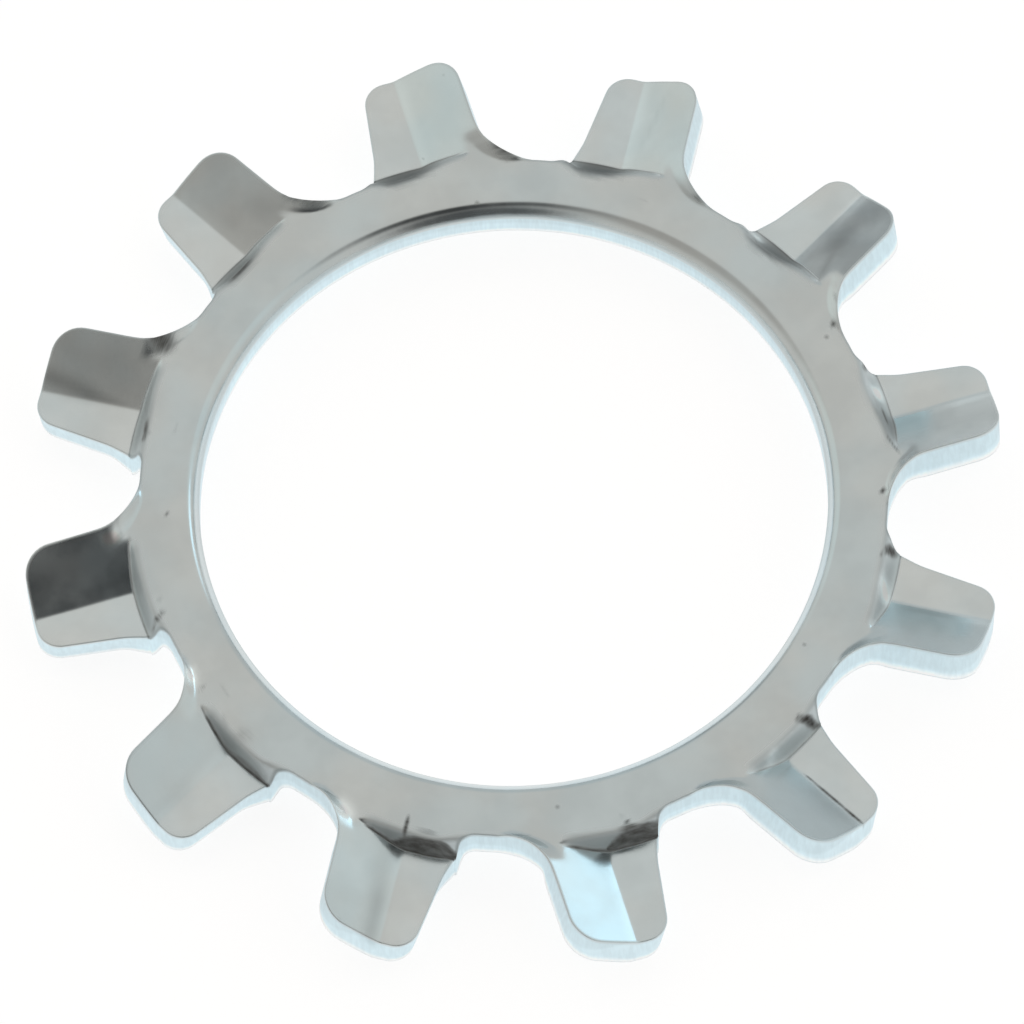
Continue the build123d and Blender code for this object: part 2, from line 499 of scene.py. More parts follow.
def sectorsAroundTree():
    tree = bpy.data.node_groups.new("teethAroundBore", "GeometryNodeTree")
    inputs = {"Sector": "Geometry", "Teeth": "Int", "Seam": "Float", "Waviness": "Float",
              "Wave Scale": "Float", "Seed": "Float", "Finish": "Material"}
    for name, kind in inputs.items():
        tree.interface.new_socket(name, in_out="INPUT", socket_type="NodeSocket" + kind)
    tree.interface.new_socket("Washer", in_out="OUTPUT", socket_type="NodeSocketGeometry")
    given = tree.nodes.new("NodeGroupInput").outputs
    multiply, subtract = {"operation": "MULTIPLY"}, {"operation": "SUBTRACT"}
    places = addNode(tree, "GeometryNodePoints", Count=given["Teeth"])
    index = addNode(tree, "GeometryNodeInputIndex")
    step = addNode(tree, "ShaderNodeMath", {"operation": "DIVIDE"}, in_0=2 * math.pi, in_1=given["Teeth"])
    angle = addNode(tree, "ShaderNodeMath", multiply, in_0=index.outputs[0], in_1=step.outputs[0])
    turn = addNode(tree, "ShaderNodeCombineXYZ", Z=angle.outputs[0])
    copies = addNode(tree, "GeometryNodeInstanceOnPoints", Points=places.outputs[0],
                     Instance=given["Sector"], Rotation=turn.outputs[0])
    real = addNode(tree, "GeometryNodeRealizeInstances", Geometry=copies.outputs[0])
    joined = addNode(tree, "GeometryNodeMergeByDistance", Geometry=real.outputs[0],
                     Distance=given["Seam"])
    # the faces aren't quite flat: a slow wave that dies out down the walls
    wave = addNode(tree, "ShaderNodeTexNoise", {"noise_dimensions": "4D"}, Scale=given["Wave Scale"],
                   W=given["Seed"], Detail=1.0)
    lower = addNode(tree, "GeometryNodeInputNamedAttribute", {"data_type": "FLOAT"}, Name="face")
    upper = addNode(tree, "ShaderNodeMath", subtract, in_0=1.0, in_1=lower.outputs[0])
    level = addNode(tree, "ShaderNodeMath", subtract, in_0=wave.outputs[0], in_1=0.5)
    depth = addNode(tree, "ShaderNodeMath", multiply, in_0=level.outputs[0], in_1=upper.outputs[0])
    sunk = addNode(tree, "ShaderNodeMath", multiply, in_0=depth.outputs[0], in_1=given["Waviness"])
    down = addNode(tree, "ShaderNodeCombineXYZ", Z=sunk.outputs[0])
    waved = addNode(tree, "GeometryNodeSetPosition", Geometry=joined.outputs[0], Offset=down.outputs[0])
    smooth = addNode(tree, "GeometryNodeSetShadeSmooth", Geometry=waved.outputs[0])
    finished = addNode(tree, "GeometryNodeSetMaterial", Geometry=smooth.outputs[0],
                       Material=given["Finish"])
    addNode(tree, "NodeGroupOutput", in_0=finished.outputs[0])
    return tree


def socketId(tree, name):
    return next(s.identifier for s in tree.interface.items_tree if s.name == name and s.in_out == "INPUT")


def vertexPlaces(mesh):
    flat = np.empty(len(mesh.vertices) * 3)
    mesh.vertices.foreach_get("co", flat)
    return flat.reshape(-1, 3) / millimetre


def inTooth(places, turn):
    # out along the tooth's centre line, and aside of it
    c, s = math.cos(turn), math.sin(turn)
    return c * places[:, 0] + s * places[:, 1], c * places[:, 1] - s * places[:, 0]


def vertexValues(mesh, name):
    values = np.empty(len(mesh.vertices))
    mesh.attributes[name].data.foreach_get("value", values)
    return values


def keepValues(mesh, name, values):
    mesh.attributes.new(name, "FLOAT", "POINT").data.foreach_set("value", values)


toolMarks = {                    # mm; a pair is where a mark begins and where it is at full strength
    "pressed": (0, 0.3),         # by how far the sheet is pressed down
    "onTop": (0, 0.1),           # the marks end within this share of a wall's height
    "dragBefore": 0.08,          # the drag begins this far inwards of the roll
    "dragFull": 0.5,             # and is full at this share of the roll
    "dragPast": (-0.01, 0.07),   # it ends at the foot
    "cornerWide": 0.04,          # painted shade and soil in the corner along the foot
    "cornerWider": 0.03,         # more where the tool was shifted to
    "cornerStep": (0.3, 0.9),    # by the share of the step
    "cornerShadeAndSoil": 0.33,
    "cornerMore": 0.34,
    "cornerSide": (0.4, 0.9),
}


def shapeTeeth(mesh):
    # each tooth's step and lip follow the shifted tool, less and less down the walls
    # and each step is marked where the tool dragged over it, and along the corner at its foot with painted
    # shade and soil
    marks, roll = toolMarks, washer["stepRoll"]
    places, face = vertexPlaces(mesh), vertexValues(mesh, "face")
    dragged, corner = np.zeros(len(places)), np.zeros(len(places))
    nearest = np.round(np.arctan2(places[:, 1], places[:, 0]) / pitch).astype(int) % washer["toothCount"]
    for tooth in range(washer["toothCount"]):
        own = nearest == tooth
        turn = tooth * pitch
        x, y = inTooth(places[own], turn)
        places[own, 2] += (topHeight(x, y, turn) - topHeight(x, y)) * (1 - face[own])
        side = toolSide(turn)
        steepest, foot = stepPlaces(y, side)
        radius = np.hypot(x, y)
        pressed = smoothStep(ringTop - foldedTop(x, y), *marks["pressed"])
        pressed = pressed * (1 - smoothStep(face[own], *marks["onTop"]))
        begin, full = roll + marks["dragBefore"], marks["dragFull"] * roll
        begun = smoothStep(radius, steepest - begin, steepest - full)
        past = smoothStep(radius - foot, *marks["dragPast"])
        dragged[own] = begun * (1 - past) * pressed
        width = marks["cornerWide"] + marks["cornerWider"] * max(side, 0)
        soil = marks["cornerShadeAndSoil"] + marks["cornerMore"] * smoothStep(side, *marks["cornerSide"])
        low = smoothStep(stepShare(x, y, side), *marks["cornerStep"])
        # painted shade in the corner at the step's foot, laid on with soil, strongest where the tool was
        # shifted to
        corner[own] = np.exp(-((radius - foot) / width) ** 2) * low * pressed * soil
    mesh.vertices.foreach_set("co", (places * millimetre).ravel())
    keepValues(mesh, "dragged", dragged)
    keepValues(mesh, "corner", corner)


def makeWasher(finish):
    w = washer
    points, faces = sectorMesh()
    source = meshObject("sectorSource", points[:, :3] * millimetre, faces)
    keepValues(source.data, "rim", points[:, 3])
    keepValues(source.data, "face", points[:, 4])
    tree = sectorsAroundTree()
    modifier = source.modifiers.new("teethAroundBore", "NODES")
    modifier.node_group = tree
    modifier[socketId(tree, "Teeth")] = w["toothCount"]
    modifier[socketId(tree, "Seam")] = w["seamMerge"] * millimetre
    modifier[socketId(tree, "Waviness")] = w["waviness"] * millimetre
    modifier[socketId(tree, "Wave Scale")] = 1 / (w["wavePitch"] * millimetre)
    modifier[socketId(tree, "Seed")] = float(w["waveSeed"])
    modifier[socketId(tree, "Finish")] = finish
    bpy.context.view_layer.update()
    evaluated = source.evaluated_get(bpy.context.evaluated_depsgraph_get())
    mesh = bpy.data.meshes.new_from_object(evaluated)
    source.modifiers.clear()
    bpy.data.objects.remove(source)
    mesh.name = "washer"
    shapeTeeth(mesh)
    piece = bpy.data.objects.new("washer", mesh)
    scene.collection.objects.link(piece)
    work = bmesh.new()
    work.from_mesh(mesh)
    bmesh.ops.recalc_face_normals(work, faces=work.faces)
    openEdges = sum(1 for e in work.edges if not e.is_manifold)
    work.to_mesh(mesh)
    work.free()
    print("washer faces", len(mesh.polygons), "open edges", openEdges)
    layGrimeAndPaintedLight(mesh)
    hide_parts("lock_washer")
    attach(piece, "root")


# grime and painted light: dark soil packed into the steps and folds of some teeth, films left on the
# plating, painted shade over some steps, and painted glints and highlights on step rolls, root lips and
# creases
# teeth are counted anticlockwise from +X; lengths are mm and turns degrees, in a tooth's own frame

grimeAndPaintedLight = {
    "onTop": (0.1, 0.5),         # spots and films end within these shares of a wall's height
    "bandFoot": (-0.3, 0.1),     # a band's soft edge at the foot, in shares of its width
    "bandTop": (0.55, 1.1),
    "bandEnds": (0, 0.15),
    "bands": [                   # soil along the step's foot
        # tooth, from and to aside, width at each end, extra width midway, strength
        (8, 2.1, -0.35, 0.14, 0.05, 0.15, 0.64),
        (9, 2.2, 0.05, 0.3, 0.05, 0.1, 0.64),
        (7, 2.0, -0.5, 0.06, 0.04, 0.06, 0.45),
        (10, 1.95, 0.9, 0.06, 0.04, 0.0, 0.3),
    ],
    "paintedStepShades": [                  # painted shade, and on tooth 10 painted light, over the dragged steps, where their rolls fall into shade
        # tooth, aside, length, tone added
        (3, 0.9, 1.2, -0.6),
        (2, 0.9, 1.05, -0.62),
        (1, 0.6, 0.95, -0.55),
        (0, -0.3, 0.7, -0.3),
        (4, 0.9, 0.9, -0.4),
        (5, 0.9, 0.9, -0.12),
        (7, 0.4, 1.1, -0.05),
        (10, 0.2, 1.2, 0.1),
    ],
    "spots": [
        # tooth, out, aside, length, width, turn, strength
        (8, 12.6, 0.18, 0.4, 0.09, 4, 0.72),
        (8, 12.62, 0.9, 0.14, 0.5, 0, 0.4),
        (9, 12.45, 0.95, 0.36, 0.1, 12, 0.66),
        (9, 12.78, 1.0, 0.16, 0.4, 0, 0.6),
        (7, 12.5, 0.35, 0.4, 0.5, 0, 0.28),
        (7, 12.6, -0.5, 0.4, 0.14, 60, 0.24),
        (10, 12.72, 1.5, 0.45, 0.13, 66, 0.78),
        (10, 12.55, 1.3, 0.2, 0.16, 20, 0.55),
        (10, 12.4, 1.22, 0.3, 0.09, 20, 0.6),
        (11, 12.62, 1.7, 0.28, 0.16, 60, 0.75),
        (11, 12.4, 1.3, 0.3, 0.08, 40, 0.4),
        (0, 12.55, 2.0, 0.3, 0.1, 70, 0.55),
        (0, 12.78, 0.1, 0.45, 0.08, 90, 0.55),
        (0, 12.75, -1.2, 0.5, 0.08, 110, 0.5),
        (0, 12.05, -2.75, 0.2, 0.09, 20, 0.75),
        (1, 12.1, -2.75, 0.16, 0.1, 50, 0.7),
        (1, 12.74, -2.18, 0.3, 0.1, 60, 0.3),
        (2, 12.25, -2.72, 0.24, 0.1, 60, 0.5),
        (6, 12.5, 1.7, 0.34, 0.12, 30, 0.55),
        (6, 12.3, 1.05, 0.3, 0.16, 60, 0.28),
        (7, 11.85, -1.3, 0.5, 0.14, 70, 0.26),
        (7, 12.3, -1.9, 0.3, 0.12, 20, 0.35),
        (5, 12.5, 1.2, 0.45, 0.1, 100, 0.55),
        (5, 12.42, 1.5, 0.25, 0.1, 60, 0.5),
        (5, 11.54, 0.95, 0.4, 0.14, 80, 0.25),
        (4, 12.42, 1.0, 0.6, 0.12, 96, 0.62),
        (4, 12.52, 1.5, 0.3, 0.12, 60, 0.5),
        (4, 12.75, 0.26, 0.3, 0.1, 60, 0.35),
        (2, 11.68, -0.9, 0.5, 0.12, 100, 0.22),
        (5, 13.02, -2.05, 0.6, 0.5, -40, 0.72),
        (4, 12.9, -2.4, 0.85, 0.36, 36, 0.7),
        (3, 12.6, -2.5, 0.55, 0.34, 38, 0.6),
        (10, 16.0, 0.4, 0.5, 0.07, 3.8, 0.8),
        (10, 15.0, 0.34, 0.9, 0.07, 3.8, 0.7),
        (10, 14.1, 0.29, 0.3, 0.05, 3.8, 0.6),
        (8, 16.35, -0.95, 0.05, 0.05, 0, 0.6),
        (3, 10.96, -3.37, 0.06, 0.06, 0, 0.7),
        (3, 13.31, 0.08, 0.05, 0.05, 0, 0.6),
        (6, 11.37, -1.94, 0.08, 0.06, 0, 0.6),
    ],
    "filmsAndGlints": [
        # tooth, out, aside, length, width, turn, tone added
        (1, 16.0, -0.6, 0.5, 0.42, 0, -0.14),
        (1, 14.6, -0.5, 0.9, 0.4, 5, -0.3),
        (1, 13.5, -0.95, 0.6, 0.14, 20, -0.2),
        # painted highlights: these light strips lie along the crease's rounding near the tips of teeth 1
        # and 0
        (1, 15.8, 0.22, 0.8, 0.2, 4, 0.3),
        (0, 15.6, 0.2, 0.8, 0.1, 4, 0.22),
        (0, 15.3, -0.7, 1.6, 0.5, 0, -0.13),
        (0, 13.5, -0.1, 0.5, 0.4, 0, -0.12),
        (11, 14.4, 0.1, 1.0, 0.14, 4, -0.24),
        # painted highlight along the crease near the tip of tooth 11
        (11, 15.9, 0.25, 0.6, 0.2, 4, 0.12),
        (8, 15.8, 0.05, 1.1, 0.3, 4, -0.24),
        (8, 14.2, -0.2, 1.2, 0.4, 0, -0.07),
        (8, 14.6, -0.9, 0.7, 0.4, 20, 0.06),
        (7, 15.5, 0.15, 1.2, 0.2, 4, -0.07),
        (5, 15.8, 0.05, 1.3, 0.3, -6, -0.35),
        (5, 15.0, -1.0, 1.4, 0.6, 0, -0.12),
        (6, 15.6, -1.5, 0.9, 0.4, 0, 0.25),
        (5, 14.4, 0.15, 0.8, 0.14, 0, -0.2),
        (4, 13.6, -1.2, 0.7, 0.5, 30, -0.12),
        (6, 13.4, -1.5, 0.4, 0.3, 0, 0.7),
        (6, 15.4, -0.2, 0.9, 0.3, 10, 0.3),
        (2, 15.0, -0.4, 1.0, 0.06, -8, -0.05),
        # painted glints: these spots lighten the steps' rolls of teeth 0, 11, 1, 2 and 10, where the
        # softbox glints, and the root lips of teeth 7 and 8
        (0, 12.74, 1.12, 0.3, 0.2, 100, 0.62),
        (11, 12.82, 0.3, 0.42, 0.17, 105, 0.62),
        (1, 12.72, 1.6, 0.2, 0.12, 90, 0.6),
        (2, 12.6, 1.9, 0.2, 0.1, 90, 0.6),
        (10, 12.85, -0.3, 0.3, 0.1, 110, 0.3),
        (7, 12.35, -2.42, 0.36, 0.2, 60, 0.6),
        (8, 12.65, -1.95, 0.42, 0.28, 50, 0.6),
    ],
}


def spotSum(places, spots, combine):
    total = np.zeros(len(places))
    for tooth, out, aside, length, width, turn, strength in spots:
        x, y = inTooth(places, tooth * pitch)
        x, y = x - out, y - aside
        c, s = math.cos(math.radians(turn)), math.sin(math.radians(turn))
        along, across = (c * x + s * y) / length, (c * y - s * x) / width
        total = combine(total, strength * np.exp(-np.abs(along) ** 3 - across ** 2))
    return total


def layGrimeAndPaintedLight(mesh):
    # strengths of soil, films, painted shade and painted glints at each point, kept as attributes for the
    # plating's material
    places, face = vertexPlaces(mesh), vertexValues(mesh, "face")
    dragged = vertexValues(mesh, "dragged")
    onTop = 1 - smoothStep(face, *grimeAndPaintedLight["onTop"])
    soil = spotSum(places, grimeAndPaintedLight["spots"], np.maximum) * onTop
    film = spotSum(places, grimeAndPaintedLight["filmsAndGlints"], np.add) * onTop
    for tooth, start, end, startWidth, endWidth, bulge, strength in grimeAndPaintedLight["bands"]:
        x, y = inTooth(places, tooth * pitch)
        foot = stepPlaces(y, toolSide(tooth * pitch))[1]
        along = np.clip((y - start) / (end - start), 0, 1)
        width = startWidth + (endWidth - startWidth) * along + 4 * bulge * along * (1 - along)
        inwards = (foot - np.hypot(x, y)) / width
        across = smoothStep(inwards, *grimeAndPaintedLight["bandFoot"]) * (1 - smoothStep(inwards, *grimeAndPaintedLight["bandTop"]))
        within = smoothStep(np.minimum(start - y, y - end), *grimeAndPaintedLight["bandEnds"]) * (x > 0)
        level = 1 - smoothStep(face, *toolMarks["onTop"])
        soil = np.maximum(soil, strength * across * within * level)
    # painted shade and painted light laid over the dragged steps, tooth by tooth
    for tooth, aside, length, tone in grimeAndPaintedLight["paintedStepShades"]:
        x, y = inTooth(places, tooth * pitch)
        film += tone * dragged * np.exp(-np.abs((y - aside) / length) ** 3) * (x > 0)
    keepValues(mesh, "soil", soil)
    # the film attribute also carries the painted shade over the dragged steps and the painted glints and
    # highlights
    keepValues(mesh, "film", film)


# zinc plating over cold-rolled strip, clear blue passivate: pale, soft-edged reflections with a cool cast

plating = {                      # millimetres; a pair is where a look begins and where it is at its full
    "colour": "#CEDBDF",
    "warmColour": "#D2DADB",     # where the passivate film is thinner
    "wallColour": "#D6E9F0",     # cut and burnished walls
    # painted light: near white at the bottom of a wall, lit from the white table below
    "wallFootPaintedLight": "#F6FAFB",
    "dragColour": "#D3DBDD",     # steps dragged by the tool
    "soilAndShadeColour": "#34302C",
    "roughness": 0.19,
    "cloudRoughness": 0.05,
    "dragRoughness": 0.48,
    "edgeRoughness": 0.25,
    "edge": (0.02, 0.12),        # distances from a cut edge
    "cloudPitch": 1.9,
    "cloudTone": 0.045,
    "cloud": (0.3, 0.7),
    "filmFiner": 0.6,            # how many film patches to a cloud
    "filmSeed": 7.0,
    "film": (0.35, 0.65),
    "wallTop": (0.0, 0.12),      # 0 is the top of a wall and 1 its bottom
    "wallLightFades": (0.72, 0.98),
    "wallBottom": (0.97, 1.0),
    "streakPitch": 0.14,         # burnish marks down the walls
    "streakTone": 0.035,
    "streak": (0.3, 0.7),
    "streakRadius": 16,          # where streaks and fibres have their true length
    "fibreRadius": 13,
    "fibreAcross": 0.05,
    "fibreAlong": 0.4,
    "fibreDepth": 0.8,
    "fibreLevel": 0.6,
    "soil": (0.1, 0.9),          # strengths of soil once the fibres have broken it up
    "soilMost": 0.97,
    "soilRoughness": 0.5,
    "pressedTone": 1.09,         # lands burnished by the tool
    "pressed": (0.02, 0.3),      # heights above a land
    "pitPitch": 1.15,
    "pitRadius": 0.055,
    "pit": (0.2, 2),             # shares of that radius
    "pitShare": 0.1,
    "pitSoil": 0.35,
    "grainPitch": 0.16,          # the strip's own grain is finer, and is drawn this coarse to show
    "grainDepth": 0.0012,
}


def platingPlaces(tree):
    # where the shader is on the washer: its place, height, radius and turn round the bore
    coordinates = addNode(tree, "ShaderNodeTexCoord")
    place = addNode(tree, "ShaderNodeVectorMath", {"operation": "SCALE"},
                    in_0=coordinates.outputs["Object"], Scale=1 / millimetre).outputs[0]
    parts = addNode(tree, "ShaderNodeSeparateXYZ", Vector=place).outputs
    level = addNode(tree, "ShaderNodeCombineXYZ", X=parts["X"], Y=parts["Y"]).outputs[0]
    radius = addNode(tree, "ShaderNodeVectorMath", {"operation": "LENGTH"}, in_0=level).outputs["Value"]
    turn = addNode(tree, "ShaderNodeMath", {"operation": "ARCTAN2"}, in_0=parts["Y"], in_1=parts["X"])
    return {"place": place, "height": parts["Z"], "radius": radius, "turn": turn.outputs[0]}


def noiseAroundBore(tree, where, along, across, detail):
    # noise laid out by turn and radius, so that its grains run round the bore or down the walls
    multiply = {"operation": "MULTIPLY"}
    arc = addNode(tree, "ShaderNodeMath", multiply, in_0=where["turn"], in_1=along)
    out = addNode(tree, "ShaderNodeMath", multiply, in_0=where["radius"], in_1=across)
    bent = addNode(tree, "ShaderNodeCombineXYZ", X=arc.outputs[0], Y=out.outputs[0], Z=where["height"])
    return addNode(tree, "ShaderNodeTexNoise", Vector=bent.outputs[0], Scale=1.0, Detail=detail).outputs[0]


def platingColour(tree, where, cloud):
    # slow clouds in tint and tone, from uneven plating, and walls that are bluer and streaked, with
    # painted light from the table making them paler towards their bottoms
    p = plating
    multiply, soft = {"operation": "MULTIPLY"}, {"interpolation_type": "SMOOTHSTEP"}
    film = addNode(tree, "ShaderNodeTexNoise", {"noise_dimensions": "4D"}, Vector=where["place"],
                   W=p["filmSeed"], Scale=p["filmFiner"] / p["cloudPitch"], Detail=2.0).outputs[0]
    warm = addNode(tree, "ShaderNodeMapRange", soft, Value=film,
                   From_Min=p["film"][0], From_Max=p["film"][1])
    tint = addNode(tree, "ShaderNodeMixRGB", Fac=warm.outputs[0], Color1=linearColour(p["colour"]),
                   Color2=linearColour(p["warmColour"])).outputs[0]
    face = addNode(tree, "ShaderNodeAttribute", {"attribute_name": "face"}).outputs["Fac"]
    below = addNode(tree, "ShaderNodeMapRange", soft, Value=face,
                    From_Min=p["wallTop"][0], From_Max=p["wallTop"][1])
    above = addNode(tree, "ShaderNodeMapRange", soft, Value=face, To_Min=1.0, To_Max=0.0,
                    From_Min=p["wallBottom"][0], From_Max=p["wallBottom"][1])
    wall = addNode(tree, "ShaderNodeMath", multiply, in_0=below.outputs[0],
                   in_1=above.outputs[0]).outputs[0]
    # painted light: each wall turns paler towards its bottom, as the white table lights it
    pale = addNode(tree, "ShaderNodeMapRange", soft, Value=face,
                   From_Min=p["wallLightFades"][0], From_Max=p["wallLightFades"][1])
    wallTint = addNode(tree, "ShaderNodeMixRGB", Fac=pale.outputs[0], Color1=linearColour(p["wallColour"]),
                       Color2=linearColour(p["wallFootPaintedLight"])).outputs[0]
    tint = addNode(tree, "ShaderNodeMixRGB", Fac=wall, Color1=tint, Color2=wallTint).outputs[0]
    dragged = addNode(tree, "ShaderNodeAttribute", {"attribute_name": "dragged"}).outputs["Fac"]
    tint = addNode(tree, "ShaderNodeMixRGB", Fac=dragged, Color1=tint,
                   Color2=linearColour(p["dragColour"])).outputs[0]
    # tone: clouds, burnished lands, streaks down the walls and the films laid on, with the painted shade
    # and painted glints that ride in the film attribute
    streak = noiseAroundBore(tree, where, p["streakRadius"] / p["streakPitch"], 1 / p["streakPitch"], 2.0)
    streak = addNode(tree, "ShaderNodeMapRange", soft, Value=streak, To_Min=-1.0, To_Max=1.0,
                     From_Min=p["streak"][0], From_Max=p["streak"][1])
    onWall = addNode(tree, "ShaderNodeMath", multiply, in_0=streak.outputs[0], in_1=wall)
    streaked = addNode(tree, "ShaderNodeMath", {"operation": "MULTIPLY_ADD"}, in_0=onWall.outputs[0],
                       in_1=p["streakTone"], in_2=1.0)
    cloudy = addNode(tree, "ShaderNodeMapRange", soft, Value=cloud, To_Min=1 - p["cloudTone"],
                     To_Max=1 + p["cloudTone"], From_Min=p["cloud"][0], From_Max=p["cloud"][1])
    low, high = [washer["sheet"] + height for height in p["pressed"]]
    burnished = addNode(tree, "ShaderNodeMapRange", soft, Value=where["height"],
                        From_Min=low, From_Max=high, To_Min=p["pressedTone"], To_Max=1.0)
    # the film attribute holds the plating's films together with painted shade over some steps and painted
    # glints and highlights
    film = addNode(tree, "ShaderNodeAttribute", {"attribute_name": "film"}).outputs["Fac"]
    filmAndPaintedLight = addNode(tree, "ShaderNodeMath", {"operation": "ADD"}, in_0=film, in_1=1.0)
    tone = cloudy.outputs[0]
    for change in (burnished, streaked, filmAndPaintedLight):
        tone = addNode(tree, "ShaderNodeMath", multiply, in_0=tone, in_1=change.outputs[0]).outputs[0]
    return addNode(tree, "ShaderNodeVectorMath", {"operation": "SCALE"}, in_0=tint, Scale=tone).outputs[0]


def platingDirtAndShade(tree, where):
    # share of dirt and painted shade: soil and the painted shade at the steps' feet, broken up into fibres
    # that run round the bore, and small pits
    p = plating
    multiply, soft = {"operation": "MULTIPLY"}, {"interpolation_type": "SMOOTHSTEP"}
    cells = addNode(tree, "ShaderNodeTexVoronoi", Vector=where["place"], Scale=1 / p["pitPitch"])
    chance = addNode(tree, "ShaderNodeSeparateColor", Color=cells.outputs["Color"]).outputs[0]
    near, far = [share * p["pitRadius"] for share in p["pit"]]
    dot = addNode(tree, "ShaderNodeMapRange", soft, Value=cells.outputs["Distance"],
                  From_Min=near, From_Max=far, To_Min=1.0, To_Max=0.0)
    chosen = addNode(tree, "ShaderNodeMath", {"operation": "LESS_THAN"}, in_0=chance, in_1=p["pitShare"])
    pit = addNode(tree, "ShaderNodeMath", multiply, in_0=chosen.outputs[0], in_1=dot.outputs[0])
    soil = addNode(tree, "ShaderNodeAttribute", {"attribute_name": "soil"}).outputs["Fac"]
    # painted shade along the corner at each step's foot, drawn like soil
    corner = addNode(tree, "ShaderNodeAttribute", {"attribute_name": "corner"}).outputs["Fac"]
    soilAndShade = addNode(tree, "ShaderNodeMath", {"operation": "MAXIMUM"}, in_0=soil, in_1=corner)
    fibre = noiseAroundBore(tree, where, p["fibreRadius"] / p["fibreAlong"], 1 / p["fibreAcross"], 3.0)
    fibres = addNode(tree, "ShaderNodeMath", {"operation": "MULTIPLY_ADD"}, in_0=fibre,
                     in_1=p["fibreDepth"], in_2=p["fibreLevel"])
    ragged = addNode(tree, "ShaderNodeMath", multiply, in_0=soilAndShade.outputs[0], in_1=fibres.outputs[0])
    dirtAndShade = addNode(tree, "ShaderNodeMapRange", soft, Value=ragged.outputs[0], To_Max=p["soilMost"],
                   From_Min=p["soil"][0], From_Max=p["soil"][1])
    return addNode(tree, "ShaderNodeMath", {"operation": "MULTIPLY_ADD", "use_clamp": True},
                   in_0=pit.outputs[0], in_1=p["pitSoil"], in_2=dirtAndShade.outputs[0]).outputs[0]


def platingRoughness(tree, cloud, dirtAndShade):
    # rougher where the tool dragged, along the cut edges and under dirt and the painted shade at the
    # steps' feet
    p = plating
    multiplyAdd, soft = {"operation": "MULTIPLY_ADD"}, {"interpolation_type": "SMOOTHSTEP"}
    low, high = p["roughness"] - p["cloudRoughness"], p["roughness"] + p["cloudRoughness"]
    cloudy = addNode(tree, "ShaderNodeMapRange", soft, Value=cloud, To_Min=low, To_Max=high,
                     From_Min=p["cloud"][0], From_Max=p["cloud"][1])
    dragged = addNode(tree, "ShaderNodeAttribute", {"attribute_name": "dragged"}).outputs["Fac"]
    rough = addNode(tree, "ShaderNodeMath", multiplyAdd, in_0=dragged, in_1=p["dragRoughness"],
                    in_2=cloudy.outputs[0])
    rim = addNode(tree, "ShaderNodeAttribute", {"attribute_name": "rim"}).outputs["Fac"]
    edge = addNode(tree, "ShaderNodeMapRange", soft, Value=rim, To_Min=p["edgeRoughness"], To_Max=0.0,
                   From_Min=p["edge"][0], From_Max=p["edge"][1])
    rough = addNode(tree, "ShaderNodeMath", {"operation": "ADD"}, in_0=rough.outputs[0],
                    in_1=edge.outputs[0])
    return addNode(tree, "ShaderNodeMath", multiplyAdd, in_0=dirtAndShade, in_1=p["soilRoughness"],
                   in_2=rough.outputs[0]).outputs[0]


def zincPlating():
    p = plating
    material = bpy.data.materials.new("bluePassivatedZincPlating")
    material.use_nodes = True
    tree = material.node_tree
    tree.nodes.clear()
    where = platingPlaces(tree)
    cloud = addNode(tree, "ShaderNodeTexNoise", Vector=where["place"], Scale=1 / p["cloudPitch"],
                    Detail=3.0, Roughness=0.55).outputs[0]
    metal = platingColour(tree, where, cloud)
    dirtAndShade = platingDirtAndShade(tree, where)
    # dirt and the painted shade at the steps' feet turn the metal to the soil colour
    colour = addNode(tree, "ShaderNodeMixRGB", Fac=dirtAndShade, Color1=metal,
                     Color2=linearColour(p["soilAndShadeColour"])).outputs[0]
    bare = addNode(tree, "ShaderNodeMath", {"operation": "SUBTRACT"}, in_0=1.0, in_1=dirtAndShade).outputs[0]
    grain = addNode(tree, "ShaderNodeTexNoise", Vector=where["place"], Scale=1 / p["grainPitch"],
                    Detail=2.0).outputs[0]
    bump = addNode(tree, "ShaderNodeBump", Height=grain, Strength=1.0,
                   Distance=p["grainDepth"] * millimetre).outputs[0]
    shader = addNode(tree, "ShaderNodeBsdfPrincipled", Base_Color=colour, Metallic=bare,
                     Roughness=platingRoughness(tree, cloud, dirtAndShade), Normal=bump)
    addNode(tree, "ShaderNodeOutputMaterial", Surface=shader.outputs[0])
    return material


# studio: white table, warm grey room that is dark behind the camera, one cool softbox

studio = {
    "room": "#DAD5D0",
    "patches": [                     # degrees from straight away from the camera, to the right, and up
        {"azimuth": -62, "elevation": 27, "inner": 12, "outer": 30, "colour": "#E5E6E1"},
        {"azimuth": 85, "elevation": 36, "inner": 12, "outer": 34, "colour": "#DFE0DD"},
        {"azimuth": -125, "elevation": 48, "inner": 15, "outer": 46, "colour": "#B4AEA8"},
        {"azimuth": 166, "elevation": 54, "inner": 8, "outer": 35, "colour": "#444444"},
        {"azimuth": 174, "elevation": 16, "inner": 12, "outer": 32, "colour": "#5A5A5A"},
        {"azimuth": 8, "elevation": 2, "inner": 28, "outer": 48, "colour": "#CBCCCB"},
        {"azimuth": -22, "elevation": 9, "inner": 4, "outer": 17, "colour": "#ACACAB"},
    ],
    "softbox": {"azimuth": 57, "elevation": 24, "distance": 420, "size": 110,
                "colour": "#B8EAFF", "power": 0.035},
    "table": {"half": 2000, "drop": 0.02, "paint": "#959595", "light": "#FFFFFF", "glow": 0.84,
              "plain": "#F2F2F2"},
}


def viewDirection(azimuth, elevation):
    # azimuth from straight away from the camera, clockwise seen from above
    a = math.radians(azimuth)
    e = math.radians(elevation)
    flat = Vector((math.sin(a) * math.cos(e), math.cos(a) * math.cos(e), math.sin(e)))
    return Matrix.Rotation(math.radians(camera["azimuth"]), 3, "Z") @ flat


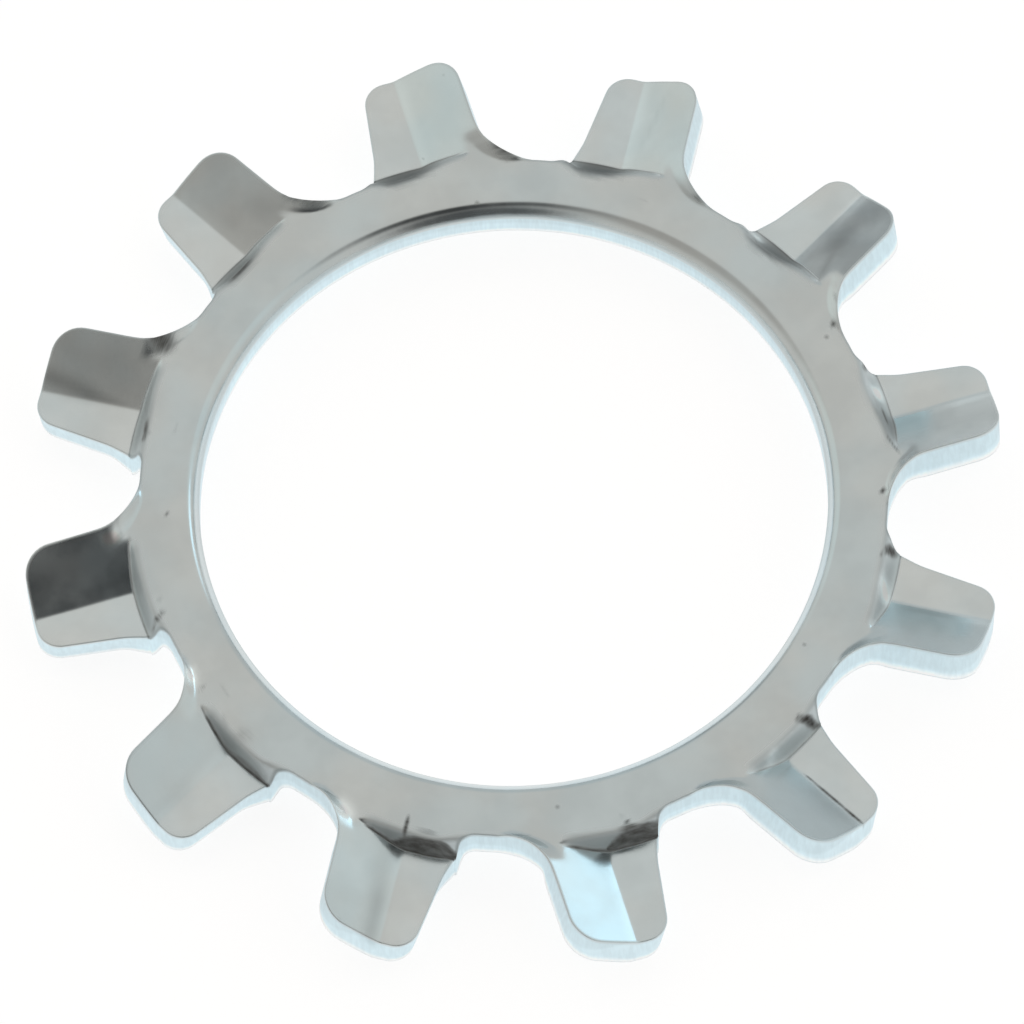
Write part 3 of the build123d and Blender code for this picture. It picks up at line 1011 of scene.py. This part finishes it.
def makeWorld():
    world = bpy.data.worlds.new("room")
    scene.world = world
    world.use_nodes = True
    tree = world.node_tree
    tree.nodes.clear()
    where = addNode(tree, "ShaderNodeTexCoord").outputs["Generated"]
    colour = addNode(tree, "ShaderNodeRGB").outputs[0]
    colour.default_value = linearColour(studio["room"])
    for patch in studio["patches"]:
        facing = addNode(tree, "ShaderNodeVectorMath", {"operation": "DOT_PRODUCT"}, in_0=where,
                         in_1=viewDirection(patch["azimuth"], patch["elevation"]))
        angle = addNode(tree, "ShaderNodeMath", {"operation": "ARCCOSINE"},
                        in_0=facing.outputs["Value"])
        share = addNode(tree, "ShaderNodeMapRange", {"interpolation_type": "SMOOTHSTEP"},
                        Value=angle.outputs[0], From_Min=math.radians(patch["inner"]),
                        From_Max=math.radians(patch["outer"]), To_Min=1.0, To_Max=0.0)
        colour = addNode(tree, "ShaderNodeMixRGB", Fac=share.outputs[0], Color1=colour,
                         Color2=linearColour(patch["colour"])).outputs[0]
    light = addNode(tree, "ShaderNodeBackground", Color=colour)
    addNode(tree, "ShaderNodeOutputWorld", Surface=light.outputs[0])


def makeSoftbox():
    box = studio["softbox"]
    data = bpy.data.lights.new("softbox", "AREA")
    data.shape = "SQUARE"
    data.size = box["size"] * millimetre
    data.energy = box["power"]
    data.color = linearColour(box["colour"])[:3]
    obj = bpy.data.objects.new("softbox", data)
    direction = viewDirection(box["azimuth"], box["elevation"])
    facing = direction.to_track_quat("Z", "Y").to_matrix().to_4x4()
    obj.matrix_world = Matrix.Translation(direction * box["distance"] * millimetre) @ facing
    obj.visible_camera = False
    scene.collection.objects.link(obj)


def makeFloor():
    # white to the camera and in reflections, and plain paint to the rays that only light it
    top = studio["table"]
    material = bpy.data.materials.new("whiteTable")
    material.use_nodes = True
    tree = material.node_tree
    tree.nodes.clear()
    paint = addNode(tree, "ShaderNodeBsdfDiffuse", Color=linearColour(top["paint"]))
    glow = addNode(tree, "ShaderNodeEmission", Color=linearColour(top["light"]), Strength=top["glow"])
    both = addNode(tree, "ShaderNodeAddShader", in_0=paint.outputs[0], in_1=glow.outputs[0])
    plain = addNode(tree, "ShaderNodeBsdfDiffuse", Color=linearColour(top["plain"]))
    rays = addNode(tree, "ShaderNodeLightPath").outputs
    seen = rays["Is Camera Ray"]
    for kind in ("Is Glossy Ray", "Is Transmission Ray"):
        seen = addNode(tree, "ShaderNodeMath", {"operation": "MAXIMUM"}, in_0=seen,
                       in_1=rays[kind]).outputs[0]
    mixed = addNode(tree, "ShaderNodeMixShader", Fac=seen, in_1=plain.outputs[0], in_2=both.outputs[0])
    addNode(tree, "ShaderNodeOutputMaterial", Surface=mixed.outputs[0])
    half, down = top["half"] * millimetre, -top["drop"] * millimetre
    corners = [(-half, -half, down), (half, -half, down), (half, half, down), (-half, half, down)]
    table = meshObject("table", np.array(corners), np.array([[0, 1, 2, 3]]))
    table.data.materials.append(material)


makeCamera()
print("camera placed")
makeWasher(zincPlating())
print("washer formed")
makeWorld()
makeSoftbox()
makeFloor()
print("studio lit")
scene.view_settings.view_transform = "Standard"
